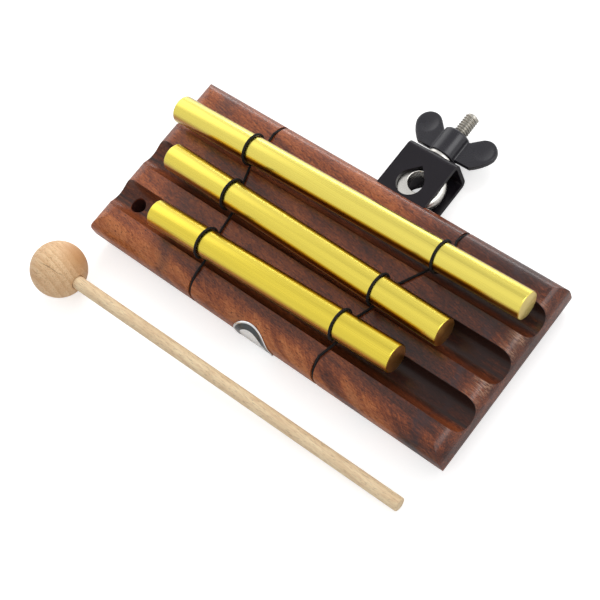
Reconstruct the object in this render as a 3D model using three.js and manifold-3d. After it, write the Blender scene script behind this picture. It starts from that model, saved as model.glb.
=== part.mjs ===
// Table chime: three tuned rods held by elastic cords over a grooved hardwood block,
// with a rod clamp on the far long side and a loose wooden mallet in front.
// Millimetres. +X runs along the rods, +Y from the near side to the clamp, +Z up.
// The origin is the centre of the block's underside.

import * as THREE from 'three';
import { mergeVertices } from 'three/addons/utils/BufferGeometryUtils.js';
import Module from 'manifold-3d';

const wasm = await Module();
wasm.setup();

// Shared clearances
const seatGap = 0.15;
const overrun = 2;
const mergeDistance = 0.00001;

// Block
const blockLength = 200;
const blockWidth = 87;
const blockHeight = 20;
const edgeRadius = 8;
const grooveWidth = 14.5;
const grooveDepth = 6.5;
const groovePitch = 23.3;
const malletHoleDiameter = 7.2;
const malletHoleDepth = 10;
const malletHoleX = -87.2;

// Rods: the furthest is the longest; each lies a little off its groove's middle
const rodDiameter = 12.7;
const rodChamfer = 0.5;
const shortRodLength = 131.7;
const shortRodX = -0.97;
const shortRodDrift = 0.93;
const midRodLength = 153.6;
const midRodX = -2.54;
const midRodDrift = -0.2;
const longRodLength = 187.8;
const longRodX = 1.24;
const longRodDrift = 0.09;
const rods = [
  { name: 'bar_short', length: shortRodLength, x: shortRodX, groove: -1, drift: shortRodDrift, yawDegrees: 1.5 },
  { name: 'bar_mid', length: midRodLength, x: midRodX, groove: 0, drift: midRodDrift, yawDegrees: -0.94 },
  { name: 'bar_long', length: longRodLength, x: longRodX, groove: 1, drift: longRodDrift, yawDegrees: 0.97 },
];

// Elastic cords and the saw kerfs that hold them at the block's edges
const cordDiameter = 1.1;
const cordRodGap = 0.12;
const kerfWidth = 1.6;
const kerfDepth = 1.55;
const kerfRampDegrees = 45;
const cordEndGap = 1.8;

// Where the left cord runs, as x: in its kerfs, and at each rod underneath as it comes in,
// on the far side, on the near side, and underneath again as it leaves
const leftNearKerf = -36.3;
const leftFarKerf = -51.3;
const leftShortIn = -37.2;
const leftShortFar = -37.6;
const leftShortNear = -37.1;
const leftShortOut = -39;
const leftMidIn = -42.3;
const leftMidFar = -43.4;
const leftMidNear = -42.8;
const leftMidOut = -44;
const leftLongIn = -51.9;
const leftLongFar = -49.9;
const leftLongNear = -49;
const leftLongOut = -49.5;

// The same for the right cord
const rightNearKerf = 34.1;
const rightFarKerf = 51;
const rightShortIn = 37.9;
const rightShortFar = 36.1;
const rightShortNear = 36.8;
const rightShortOut = 33.6;
const rightMidIn = 41.6;
const rightMidFar = 39.8;
const rightMidNear = 40.4;
const rightMidOut = 37.4;
const rightLongIn = 52.1;
const rightLongFar = 52.4;
const rightLongNear = 53.3;
const rightLongOut = 54.7;

const cordRoutes = {
  cord_left: {
    nearX: leftNearKerf,
    farX: leftFarKerf,
    wraps: [
      { enter: leftShortIn, far: leftShortFar, near: leftShortNear, leave: leftShortOut },
      { enter: leftMidIn, far: leftMidFar, near: leftMidNear, leave: leftMidOut },
      { enter: leftLongIn, far: leftLongFar, near: leftLongNear, leave: leftLongOut },
    ],
  },
  cord_right: {
    nearX: rightNearKerf,
    farX: rightFarKerf,
    wraps: [
      { enter: rightShortIn, far: rightShortFar, near: rightShortNear, leave: rightShortOut },
      { enter: rightMidIn, far: rightMidFar, near: rightMidNear, leave: rightMidOut },
      { enter: rightLongIn, far: rightLongFar, near: rightLongNear, leave: rightLongOut },
    ],
  },
};

// Clamp bracket: one steel strap folded into a box, its ends meeting at the base
const bracketX = 15.1;
const bracketWidth = 25.6;
const bracketBottom = 0.3;
const bracketHeight = 16.9;
const bracketReach = 22.8;
const bracketSeatDepth = 9.6;
const strapThickness = 1.9;
const strapBendRadius = 3;
const strapSeam = 0.6;
const rodHoleDiameter = 12.5;
const rodHoleStandoff = 5.2;
const rodHoleVeeDegrees = 90;
const webHoleDiameter = 7;

// Screws that hold the bracket
const screwEdge = 4.3;
const screwDiameter = 3;
const screwLength = 12;
const screwHeadDiameter = 6.4;
const screwHeadHeight = 2.1;
const screwRecessWidth = 3.6;
const screwRecessSlot = 0.8;
const screwRecessDepth = 1.2;

// Eyebolt, washer and wing nut on one axis
const eyeWireDiameter = 7;
const eyeRingDiameter = 16.7;
const eyeTiltDegrees = 13;
const eyeWebGap = 0.3;
const studDiameter = 6.35;
const studEndY = 91.7;
const studChamfer = 0.8;
const washerDiameter = 12.2;
const washerThickness = 1.6;
const nutLength = 12.6;
const nutDiameter = 12.9;
const nutEdge = 0.8;
const nutBoreGap = 0.1;
const wingRise = 1;
const wingCornerOut = 14;
const wingBulgeOut = 19.2;
const wingBulgeRise = 5;
const wingLobeOut = 15;
const wingLobeRise = 10.9;
const wingLobeRadius = 5.95;
const wingLobeStartDegrees = -16;
const wingLobeEndDegrees = 128;
const wingRootOut = 7;
const wingRootRise = 11.6;
const wingThickness = 2.8;
const wingEdge = 0.6;
const dishRadius = 4.6;
const dishDepth = 0.6;

// Badge, bent over the near edge
const badgeDiameter = 20.8;
const badgeThickness = 0.5;
const badgeX = -0.6;
const badgeCentreHeight = 9.4;

// Mallet, lying on the table in front of the block
const headDiameter = 25.6;
const headX = -98.8;
const headY = -66.9;
const headFlatDiameter = 8.4;
const stickDiameter = 6.1;
const stickEndX = 92.9;
const stickEndY = -63.2;
const stickLift = 0.15;
const stickBoreDepth = 14;
const stickChamfer = 0.5;

// Derived places
const degrees = Math.PI / 180;
const halfLength = blockLength / 2;
const halfWidth = blockWidth / 2;
const edgeStart = halfWidth - edgeRadius;
const rodRadius = rodDiameter / 2;
const cordRadius = cordDiameter / 2;
const cordOnTop = blockHeight + cordRodGap + cordRadius;
const cordSink = kerfDepth - seatGap - cordRadius;
const wrapRadius = rodRadius + cordRodGap + cordRadius;
const rodAxisZ = cordOnTop + wrapRadius;
const grooveRadius = (grooveWidth * grooveWidth / 4 + grooveDepth * grooveDepth) / (2 * grooveDepth);
const grooveAxisZ = blockHeight - grooveDepth + grooveRadius;
const bracketBase = halfWidth - bracketSeatDepth;
const webOuter = halfWidth + bracketReach;
const webInner = webOuter - strapThickness;
const clampAxisZ = bracketBottom + bracketHeight / 2;
const screwOut = bracketWidth / 2 - screwEdge;
const eyeOuter = (eyeRingDiameter + eyeWireDiameter) / 2;
const eyeCentreY = webInner - eyeWebGap - eyeOuter;
const washerStart = webOuter + seatGap;
const nutStart = washerStart + washerThickness + seatGap;

const axisX = new THREE.Vector3(1, 0, 0);
const axisY = new THREE.Vector3(0, 1, 0);
const axisZ = new THREE.Vector3(0, 0, 1);

// Solid helpers

function toSolid(geometry) {
  const bare = geometry.index ? geometry.toNonIndexed() : geometry.clone();
  bare.deleteAttribute('normal');
  bare.deleteAttribute('uv');
  const merged = mergeVertices(bare, mergeDistance);
  return new wasm.Manifold(new wasm.Mesh({
    numProp: 3,
    vertProperties: new Float32Array(merged.attributes.position.array),
    triVerts: new Uint32Array(merged.index.array),
  }));
}

function toGeometry(solid) {
  const mesh = solid.getMesh();
  const geometry = new THREE.BufferGeometry();
  geometry.setAttribute('position', new THREE.BufferAttribute(new Float32Array(mesh.vertProperties), 3));
  geometry.setIndex(new THREE.BufferAttribute(new Uint32Array(mesh.triVerts), 1));
  geometry.computeVertexNormals();
  return geometry;
}

function join(first, ...rest) {
  return rest.reduce((whole, piece) => whole.add(piece), first);
}

function cut(first, ...rest) {
  return rest.reduce((whole, piece) => whole.subtract(piece), first);
}

function extrude(shape, length, curveSegments, bevel = {}) {
  return new THREE.ExtrudeGeometry(shape, { depth: length, curveSegments, bevelEnabled: false, ...bevel });
}

// A profile drawn in Y and Z, run along X
function alongX(shape, from, to, curveSegments = 6) {
  const geometry = extrude(shape, to - from, curveSegments);
  geometry.applyMatrix4(new THREE.Matrix4().makeBasis(axisY, axisZ, axisX));
  return geometry.translate(from, 0, 0);
}

// A profile drawn in X and Z, run along Y
function alongY(shape, from, to, curveSegments = 6) {
  const geometry = extrude(shape, to - from, curveSegments);
  geometry.applyMatrix4(new THREE.Matrix4().makeBasis(axisX, axisZ, axisY.clone().negate()));
  return geometry.translate(0, to, 0);
}

// A profile drawn in X and Y, run along Z
function alongZ(shape, from, to, curveSegments = 6) {
  return extrude(shape, to - from, curveSegments).translate(0, 0, from);
}

function polygon(points) {
  return new THREE.Shape(points.map(([a, b]) => new THREE.Vector2(a, b)));
}

function circle(centreA, centreB, radius) {
  return new THREE.Shape().absarc(centreA, centreB, radius, 0, 2 * Math.PI, false);
}

function roundedRectangle(lowA, lowB, highA, highB, radius) {
  const shape = new THREE.Shape();
  shape.moveTo(lowA + radius, lowB);
  shape.lineTo(highA - radius, lowB);
  shape.absarc(highA - radius, lowB + radius, radius, -Math.PI / 2, 0, false);
  shape.lineTo(highA, highB - radius);
  shape.absarc(highA - radius, highB - radius, radius, 0, Math.PI / 2, false);
  shape.lineTo(lowA + radius, highB);
  shape.absarc(lowA + radius, highB - radius, radius, Math.PI / 2, Math.PI, false);
  shape.lineTo(lowA, lowB + radius);
  shape.absarc(lowA + radius, lowB + radius, radius, Math.PI, 1.5 * Math.PI, false);
  return shape;
}

// A profile of [radius, height] points turned about the Y axis
function turned(profile, segments) {
  return new THREE.LatheGeometry(profile.map(([radius, height]) => new THREE.Vector2(radius, height)), segments);
}

// A round tube through a list of points, with flat ends
function tube(points, radius, sides) {
  const tangents = points.map((point, i) => {
    const before = points[Math.max(i - 1, 0)];
    const after = points[Math.min(i + 1, points.length - 1)];
    const inward = point.clone().sub(before).normalize();
    const outward = after.clone().sub(point).normalize();
    return inward.add(outward).normalize();
  });
  const side = new THREE.Vector3().crossVectors(tangents[0], axisX).normalize();
  const position = [];
  const index = [];
  points.forEach((point, i) => {
    side.addScaledVector(tangents[i], -side.dot(tangents[i])).normalize();
    const other = new THREE.Vector3().crossVectors(tangents[i], side);
    for (let k = 0; k < sides; k += 1) {
      const angle = 2 * Math.PI * k / sides;
      const spoke = side.clone().multiplyScalar(Math.cos(angle)).addScaledVector(other, Math.sin(angle));
      position.push(...point.clone().addScaledVector(spoke, radius).toArray());
    }
  });
  for (let i = 0; i + 1 < points.length; i += 1) {
    for (let k = 0; k < sides; k += 1) {
      const a = i * sides + k;
      const b = i * sides + (k + 1) % sides;
      index.push(a, b, a + sides, b, b + sides, a + sides);
    }
  }
  const last = (points.length - 1) * sides;
  for (let k = 1; k + 1 < sides; k += 1) {
    index.push(0, k + 1, k);
    index.push(last, last + k, last + k + 1);
  }
  const geometry = new THREE.BufferGeometry();
  geometry.setAttribute('position', new THREE.Float32BufferAttribute(position, 3));
  geometry.setIndex(index);
  geometry.computeVertexNormals();
  return geometry;
}

const object = new THREE.Group();

function finish(color, roughness, metalness) {
  return new THREE.MeshStandardMaterial({ color, roughness, metalness });
}

function place(name, geometry, material, parent = object) {
  const mesh = new THREE.Mesh(geometry, material);
  mesh.name = name;
  parent.add(mesh);
  return mesh;
}

// Block: a bull-nosed board whose rounded sides and ends meet in mitres, with three round
// grooves that break out through the rounded ends

function rodCentreY(rod) {
  return rod.groove * groovePitch + rod.drift;
}

// The saw kerf of one edge: it follows the round edge and ramps up to the top face
function kerfProfile(side) {
  const inner = edgeRadius - kerfDepth;
  const rampStart = kerfRampDegrees * degrees;
  const outside = halfWidth + overrun;
  const points = [[edgeStart, blockHeight], [edgeStart, blockHeight + overrun], [outside, blockHeight + overrun]];
  points.push([outside, -overrun], [edgeStart, -overrun]);
  const steps = 6;
  for (let i = 0; i <= steps; i += 1) {
    const angle = -Math.PI / 2 + (Math.PI / 2) * i / steps;
    points.push([edgeStart + inner * Math.cos(angle), edgeRadius + inner * Math.sin(angle)]);
  }
  for (let i = 0; i <= steps; i += 1) {
    const angle = rampStart * i / steps;
    const z = blockHeight - edgeRadius + inner * Math.sin(angle);
    points.push([edgeStart + inner * Math.cos(angle), z]);
  }
  return polygon(points.map(([y, z]) => [side * y, z]));
}

function buildBlock() {
  const across = roundedRectangle(-halfWidth, 0, halfWidth, blockHeight, edgeRadius);
  const lengthwise = roundedRectangle(-halfLength, 0, halfLength, blockHeight, edgeRadius);
  const sides = toSolid(alongX(across, -halfLength - overrun, halfLength + overrun, 5));
  const ends = toSolid(alongY(lengthwise, -halfWidth - overrun, halfWidth + overrun, 5));
  const cutters = [];
  for (const rod of rods) {
    const groove = circle(rod.groove * groovePitch, grooveAxisZ, grooveRadius);
    cutters.push(toSolid(alongX(groove, -halfLength - overrun, halfLength + overrun, 28)));
  }
  const malletHoleTop = blockHeight - grooveDepth + overrun;
  const malletHole = circle(malletHoleX, -groovePitch, malletHoleDiameter / 2);
  cutters.push(toSolid(alongZ(malletHole, blockHeight - grooveDepth - malletHoleDepth, malletHoleTop, 14)));
  for (const route of Object.values(cordRoutes)) {
    for (const [x, side] of [[route.nearX, -1], [route.farX, 1]]) {
      cutters.push(toSolid(alongX(kerfProfile(side), x - kerfWidth / 2, x + kerfWidth / 2)));
    }
    const slot = polygon([
      [route.nearX - kerfWidth / 2, -edgeStart], [route.nearX + kerfWidth / 2, -edgeStart],
      [route.farX + kerfWidth / 2, edgeStart], [route.farX - kerfWidth / 2, edgeStart],
    ]);
    cutters.push(toSolid(alongZ(slot, -overrun, kerfDepth)));
  }
  const pocket = polygon([
    [bracketX - bracketWidth / 2 - seatGap, -overrun],
    [bracketX + bracketWidth / 2 + seatGap, -overrun],
    [bracketX + bracketWidth / 2 + seatGap, bracketBottom + bracketHeight + seatGap],
    [bracketX - bracketWidth / 2 - seatGap, bracketBottom + bracketHeight + seatGap],
  ]);
  cutters.push(toSolid(alongY(pocket, bracketBase - seatGap, halfWidth + overrun)));
  for (const side of [-1, 1]) {
    const pilot = circle(bracketX + side * screwOut, clampAxisZ, screwDiameter / 2 + seatGap);
    cutters.push(toSolid(alongY(pilot, bracketBase - screwLength - seatGap, bracketBase, 8)));
  }
  place('block', toGeometry(cut(sides.intersect(ends), ...cutters)), finish('#6e3f30', 0.38, 0));
}

// Rods: solid bar stock with a fine chamfer at each end

function buildRods() {
  for (const rod of rods) {
    const half = rod.length / 2;
    const profile = [
      [0, -half], [rodRadius - rodChamfer, -half], [rodRadius, -half + rodChamfer],
      [rodRadius, half - rodChamfer], [rodRadius - rodChamfer, half], [0, half],
    ];
    const geometry = turned(profile, 48).rotateZ(-Math.PI / 2);
    const mesh = place(rod.name, geometry, finish('#dcc53c', 0.3, 1));
    mesh.position.set(rod.x, rodCentreY(rod), rodAxisZ);
    mesh.rotation.z = rod.yawDegrees * degrees;
  }
}

// Cords: each is one elastic that runs under the block, up a kerf, across the ridges with a
// full turn round every rod, and down the far kerf

const wrapSteps = 24;
const edgeSteps = 6;

// The cord in one kerf, from the underside up to the ridge
function edgePoints(x, side) {
  const points = [];
  const radius = edgeRadius - cordSink;
  const lift = cordOnTop - blockHeight + cordSink;
  for (let i = 0; i <= edgeSteps; i += 1) {
    const angle = -Math.PI / 2 + (Math.PI / 2) * i / edgeSteps;
    const y = edgeStart + radius * Math.cos(angle);
    points.push(new THREE.Vector3(x, side * y, edgeRadius + radius * Math.sin(angle)));
  }
  for (let i = 0; i <= edgeSteps; i += 1) {
    const angle = (Math.PI / 2) * i / edgeSteps;
    const share = Math.max(0, angle / degrees - kerfRampDegrees) / (90 - kerfRampDegrees);
    const reach = radius + lift * share * share;
    const z = blockHeight - edgeRadius + reach * Math.sin(angle);
    points.push(new THREE.Vector3(x, side * (edgeStart + reach * Math.cos(angle)), z));
  }
  return points;
}

// How far along the rod a wrap is at a share of its turn: it swings in over the first quarter
// and out over the last, and leans a little between
function wrapX(wrap, share) {
  const lean = THREE.MathUtils.mapLinear(share, 0.25, 0.75, wrap.far, wrap.near);
  if (share < 0.25) {
    return THREE.MathUtils.lerp(wrap.enter, wrap.far, THREE.MathUtils.smoothstep(share, 0, 0.25));
  }
  if (share > 0.75) {
    return THREE.MathUtils.lerp(wrap.near, wrap.leave, THREE.MathUtils.smoothstep(share, 0.75, 1));
  }
  return lean;
}

// One full turn round a rod, starting and ending under it
function wrapPoints(wrap, rod) {
  const points = [];
  for (let i = 0; i <= wrapSteps; i += 1) {
    const turn = 2 * Math.PI * i / wrapSteps;
    const x = wrapX(wrap, i / wrapSteps);
    const axisYAtX = rodCentreY(rod) + (x - rod.x) * Math.tan(rod.yawDegrees * degrees);
    const y = axisYAtX + wrapRadius * Math.sin(turn);
    points.push(new THREE.Vector3(x, y, rodAxisZ - wrapRadius * Math.cos(turn)));
  }
  return points;
}

function cordPoints(route) {
  const middleX = (route.nearX + route.farX) / 2;
  const under = new THREE.Vector3(middleX, 0, cordSink);
  const along = new THREE.Vector3(route.farX - route.nearX, 2 * edgeStart, 0).normalize();
  const start = under.clone().addScaledVector(along, -cordEndGap / 2);
  const end = under.clone().addScaledVector(along, cordEndGap / 2);
  return [
    start,
    start.clone().addScaledVector(along, -cordDiameter),
    ...edgePoints(route.nearX, -1),
    ...route.wraps.flatMap((wrap, i) => wrapPoints(wrap, rods[i])),
    ...edgePoints(route.farX, 1).reverse(),
    end.clone().addScaledVector(along, cordDiameter),
    end,
  ];
}

// The least gap of a tube to itself, between stretches more than three diameters apart along it
function selfGap(points, diameter) {
  const fine = [];
  const distance = [];
  let run = 0;
  points.forEach((point, i) => {
    const from = points[Math.max(i - 1, 0)];
    const length = point.distanceTo(from);
    const pieces = Math.max(1, Math.ceil(length / (diameter / 2)));
    for (let k = 1; k <= pieces; k += 1) {
      fine.push(from.clone().lerp(point, k / pieces));
      distance.push(run + length * k / pieces);
    }
    run += length;
  });
  let least = Infinity;
  for (let i = 0; i < fine.length; i += 1) {
    for (let k = i + 1; k < fine.length; k += 1) {
      if (distance[k] - distance[i] > 3 * diameter) {
        least = Math.min(least, fine[i].distanceTo(fine[k]));
      }
    }
  }
  return least - diameter;
}

function buildCords() {
  for (const [name, route] of Object.entries(cordRoutes)) {
    const points = cordPoints(route);
    console.log(`${name}: least gap to itself ${selfGap(points, cordDiameter).toFixed(2)} mm`);
    place(name, tube(points, cordRadius, 8), finish('#17151a', 0.7, 0));
  }
}

// Clamp: folded bracket with teardrop rod holes, eyebolt, washer and wing nut

// The rod hole: a circle that runs out into a vee towards the web, where the rod is gripped
function teardrop() {
  const radius = rodHoleDiameter / 2;
  const centreY = halfWidth + rodHoleStandoff;
  const half = rodHoleVeeDegrees / 2 * degrees;
  const shape = new THREE.Shape();
  shape.moveTo(bracketX, centreY + radius / Math.sin(half));
  shape.lineTo(bracketX - radius * Math.cos(half), centreY + radius * Math.sin(half));
  shape.absarc(bracketX, centreY, radius, Math.PI - half, half, false);
  return shape;
}

function buildBracket() {
  const top = bracketBottom + bracketHeight;
  const outer = roundedRectangle(bracketBase, bracketBottom, webOuter, top, strapBendRadius);
  const inner = roundedRectangle(
    bracketBase + strapThickness, bracketBottom + strapThickness,
    webInner, top - strapThickness, strapBendRadius - strapThickness,
  );
  const left = bracketX - bracketWidth / 2;
  const right = bracketX + bracketWidth / 2;
  const strap = toSolid(alongX(outer, left, right));
  const cutters = [toSolid(alongX(inner, left - overrun, right + overrun))];
  cutters.push(toSolid(alongZ(teardrop(), bracketBottom - overrun, top + overrun, 14)));
  const webHole = circle(bracketX, clampAxisZ, webHoleDiameter / 2);
  cutters.push(toSolid(alongY(webHole, webInner - overrun, webOuter + overrun, 14)));
  const seam = polygon([
    [left - overrun, clampAxisZ - strapSeam / 2], [right + overrun, clampAxisZ - strapSeam / 2],
    [right + overrun, clampAxisZ + strapSeam / 2], [left - overrun, clampAxisZ + strapSeam / 2],
  ]);
  cutters.push(toSolid(alongY(seam, bracketBase - overrun, bracketBase + strapThickness + overrun)));
  for (const side of [-1, 1]) {
    const hole = circle(bracketX + side * screwOut, clampAxisZ, screwDiameter / 2 + seatGap);
    cutters.push(toSolid(alongY(hole, bracketBase - overrun, bracketBase + strapThickness + overrun, 8)));
  }
  place('clamp_bracket', toGeometry(cut(strap, ...cutters)), finish('#262529', 0.45, 0.6));
}

function buildScrews() {
  const seat = bracketBase + strapThickness + seatGap;
  const radius = screwDiameter / 2;
  const tip = seat - screwLength;
  const profile = [[0, tip], [radius, tip + screwDiameter], [radius, seat], [screwHeadDiameter / 2, seat]];
  const domeSteps = 6;
  for (let i = 1; i <= domeSteps; i += 1) {
    const angle = (Math.PI / 2) * i / domeSteps;
    profile.push([screwHeadDiameter / 2 * Math.cos(angle), seat + screwHeadHeight * Math.sin(angle)]);
  }
  profile[profile.length - 1][0] = 0;
  const crown = seat + screwHeadHeight;
  const bars = [0, Math.PI / 2].map((angle) => {
    const half = screwRecessWidth / 2;
    const bar = polygon([
      [-half, -screwRecessSlot / 2], [half, -screwRecessSlot / 2],
      [half, screwRecessSlot / 2], [-half, screwRecessSlot / 2],
    ]);
    return toSolid(alongY(bar, crown - screwRecessDepth, crown + overrun).rotateY(angle));
  });
  for (const [name, side] of [['clamp_screw_left', -1], ['clamp_screw_right', 1]]) {
    const solid = cut(toSolid(turned(profile, 20)), ...bars);
    const mesh = place(name, toGeometry(solid), finish('#b9b6ae', 0.35, 1));
    mesh.position.set(bracketX + side * screwOut, 0, clampAxisZ);
  }
}

function buildEyebolt() {
  const ring = new THREE.TorusGeometry(eyeRingDiameter / 2, eyeWireDiameter / 2, 12, 40);
  ring.rotateY(eyeTiltDegrees * degrees).translate(0, eyeCentreY, 0);
  const neck = eyeCentreY + eyeRingDiameter / 2;
  const studStart = webInner - eyeWebGap;
  const profile = [
    [0, neck], [eyeWireDiameter / 2, neck], [eyeWireDiameter / 2, studStart], [studDiameter / 2, webInner],
    [studDiameter / 2, studEndY - studChamfer], [studDiameter / 2 - studChamfer, studEndY], [0, studEndY],
  ];
  const solid = join(toSolid(ring), toSolid(turned(profile, 24)));
  const mesh = place('eyebolt', toGeometry(solid), finish('#cfccc2', 0.25, 1));
  mesh.position.set(bracketX, 0, clampAxisZ);
}

function buildWasher() {
  const inner = studDiameter / 2 + nutBoreGap;
  const outer = washerDiameter / 2;
  const end = washerStart + washerThickness;
  const ring = turned([[inner, washerStart], [outer, washerStart], [outer, end], [inner, end], [inner, washerStart]], 36);
  place('washer', ring, finish('#d6d4cc', 0.25, 1)).position.set(bracketX, 0, clampAxisZ);
}

// One wing: a paddle that widens into a round lobe, dished on both faces for the fingers
function wingSolid() {
  const base = nutStart + wingRise;
  const lobeY = nutStart + wingLobeRise;
  const start = wingLobeStartDegrees * degrees;
  const inside = nutDiameter / 4;
  const shape = new THREE.Shape();
  shape.moveTo(inside, base);
  shape.lineTo(wingCornerOut, base);
  shape.quadraticCurveTo(
    wingBulgeOut, nutStart + wingBulgeRise,
    wingLobeOut + wingLobeRadius * Math.cos(start), lobeY + wingLobeRadius * Math.sin(start),
  );
  shape.absarc(wingLobeOut, lobeY, wingLobeRadius, start, wingLobeEndDegrees * degrees, false);
  shape.lineTo(wingRootOut, nutStart + wingRootRise);
  shape.lineTo(inside, nutStart + wingRootRise);
  const bevel = {
    bevelEnabled: true, bevelThickness: wingEdge, bevelSize: wingEdge, bevelOffset: -wingEdge, bevelSegments: 2,
  };
  const plate = extrude(shape, wingThickness - 2 * wingEdge, 8, bevel);
  plate.translate(0, 0, wingEdge - wingThickness / 2);
  const ballRadius = (dishRadius * dishRadius + dishDepth * dishDepth) / (2 * dishDepth);
  const rim = Math.asin(dishRadius / ballRadius);
  const profile = [];
  const rings = 6;
  for (let i = 0; i <= rings; i += 1) {
    const angle = rim * i / rings;
    profile.push([ballRadius * Math.sin(angle), ballRadius * (1 - Math.cos(angle)) - dishDepth]);
  }
  profile.push([dishRadius, overrun], [0, overrun]);
  const dishes = [-1, 1].map((face) => {
    const dish = turned(profile, 30).rotateX(face * Math.PI / 2);
    return toSolid(dish.translate(wingLobeOut, lobeY, face * wingThickness / 2));
  });
  return cut(toSolid(plate), ...dishes);
}

function buildWingNut() {
  const radius = nutDiameter / 2;
  const end = nutStart + nutLength;
  const boss = turned([
    [0, nutStart], [radius, nutStart], [radius, end - nutEdge], [radius - nutEdge, end], [0, end],
  ], 40);
  const wing = wingSolid();
  const otherWing = wing.rotate([0, 180, 0]);
  const bore = new THREE.CylinderGeometry(1, 1, 1, 40);
  const boreRadius = studDiameter / 2 + nutBoreGap;
  bore.scale(boreRadius, nutLength + 2 * overrun, boreRadius).translate(0, nutStart + nutLength / 2, 0);
  const solid = cut(join(toSolid(boss), wing, otherWing), toSolid(bore));
  const mesh = place('wing_nut', toGeometry(solid), finish('#29282d', 0.5, 0.2));
  mesh.position.set(bracketX, 0, clampAxisZ);
}

// Badge: a thin bare disc glued over the near round edge

// A place on the near side, from its distance round the surface and its height off it
function nearSurface(x, around, off) {
  const sideHalf = blockHeight / 2 - edgeRadius;
  const middle = blockHeight / 2;
  const beyond = Math.abs(around) - sideHalf;
  if (beyond <= 0) {
    return [x, -halfWidth - off, middle + around];
  }
  const angle = beyond / edgeRadius;
  const reach = edgeRadius + off;
  const z = middle + Math.sign(around) * (sideHalf + reach * Math.sin(angle));
  return [x, -edgeStart - reach * Math.cos(angle), z];
}

function buildBadge() {
  const rings = 6;
  const spokes = 40;
  const centre = badgeCentreHeight - blockHeight / 2;
  const position = [];
  const index = [];
  for (const off of [seatGap, seatGap + badgeThickness]) {
    position.push(...nearSurface(badgeX, centre, off));
    for (let ring = 1; ring <= rings; ring += 1) {
      for (let k = 0; k < spokes; k += 1) {
        const radius = badgeDiameter / 2 * ring / rings;
        const angle = 2 * Math.PI * k / spokes;
        position.push(...nearSurface(badgeX + radius * Math.cos(angle), centre + radius * Math.sin(angle), off));
      }
    }
  }
  const layer = 1 + rings * spokes;
  const at = (side, ring, k) => side * layer + 1 + (ring - 1) * spokes + (k % spokes);
  for (let k = 0; k < spokes; k += 1) {
    index.push(0, at(0, 1, k + 1), at(0, 1, k));
    index.push(layer, at(1, 1, k), at(1, 1, k + 1));
    for (let ring = 1; ring < rings; ring += 1) {
      index.push(at(0, ring, k), at(0, ring, k + 1), at(0, ring + 1, k));
      index.push(at(0, ring, k + 1), at(0, ring + 1, k + 1), at(0, ring + 1, k));
      index.push(at(1, ring, k), at(1, ring + 1, k), at(1, ring, k + 1));
      index.push(at(1, ring, k + 1), at(1, ring + 1, k), at(1, ring + 1, k + 1));
    }
    index.push(at(0, rings, k), at(0, rings, k + 1), at(1, rings, k));
    index.push(at(0, rings, k + 1), at(1, rings, k + 1), at(1, rings, k));
  }
  const geometry = new THREE.BufferGeometry();
  geometry.setAttribute('position', new THREE.Float32BufferAttribute(position, 3));
  geometry.setIndex(index);
  geometry.computeVertexNormals();
  place('badge', geometry, finish('#e8e8ea', 0.25, 0.4));
}

// Mallet: a turned ball on a dowel that lies with its far end on the table

function buildMallet() {
  const headRadius = headDiameter / 2;
  const stickRadius = stickDiameter / 2;
  const mallet = new THREE.Group();
  const centre = new THREE.Vector3(headX, headY, headRadius);
  const end = new THREE.Vector3(stickEndX, stickEndY, stickRadius + stickLift);
  const direction = end.clone().sub(centre);
  const length = direction.length();
  mallet.position.copy(centre);
  mallet.quaternion.setFromUnitVectors(axisY, direction.normalize());
  object.add(mallet);
  const boreRadius = stickRadius + seatGap;
  const flatAngle = Math.asin(headFlatDiameter / headDiameter);
  const flatAt = headRadius * Math.cos(flatAngle);
  const boreEnd = flatAt - stickBoreDepth;
  const profile = [[0, -headRadius]];
  const steps = 18;
  for (let i = 1; i <= steps; i += 1) {
    const angle = Math.PI - (Math.PI - flatAngle) * i / steps;
    profile.push([headRadius * Math.sin(angle), headRadius * Math.cos(angle)]);
  }
  profile.push([boreRadius, flatAt], [boreRadius, boreEnd], [0, boreEnd]);
  place('mallet_head', turned(profile, 32), finish('#d7af87', 0.5, 0), mallet);
  const start = boreEnd + seatGap;
  const stick = turned([
    [0, start], [stickRadius, start], [stickRadius, length - stickChamfer],
    [stickRadius - stickChamfer, length], [0, length],
  ], 28);
  place('mallet_stick', stick, finish('#ebcda5', 0.55, 0), mallet);
}

buildBlock();
buildRods();
buildCords();
buildBracket();
buildScrews();
buildEyebolt();
buildWasher();
buildWingNut();
buildBadge();
buildMallet();

export default object;
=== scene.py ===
from math import atan2, cos, pi, radians, sin, tan

import bmesh
import bpy
from mathutils import Matrix, Vector


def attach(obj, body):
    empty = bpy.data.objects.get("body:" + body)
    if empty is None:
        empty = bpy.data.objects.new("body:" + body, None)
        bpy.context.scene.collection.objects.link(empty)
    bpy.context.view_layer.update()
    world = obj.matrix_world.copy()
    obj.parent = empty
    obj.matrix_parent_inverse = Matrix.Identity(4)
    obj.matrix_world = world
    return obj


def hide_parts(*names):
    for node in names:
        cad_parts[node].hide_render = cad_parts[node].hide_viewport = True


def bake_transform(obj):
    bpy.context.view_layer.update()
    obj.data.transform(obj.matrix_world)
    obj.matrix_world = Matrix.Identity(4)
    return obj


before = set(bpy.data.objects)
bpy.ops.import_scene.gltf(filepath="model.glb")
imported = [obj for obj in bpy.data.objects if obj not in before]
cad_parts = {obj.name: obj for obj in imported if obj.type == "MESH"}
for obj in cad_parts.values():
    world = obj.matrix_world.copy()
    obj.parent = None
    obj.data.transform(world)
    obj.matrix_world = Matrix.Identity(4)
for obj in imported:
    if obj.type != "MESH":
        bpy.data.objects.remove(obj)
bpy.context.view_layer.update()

mm = 0.001
scene = bpy.context.scene
scene.view_settings.view_transform = "Standard"
print("frame loaded")


# Camera

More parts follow.
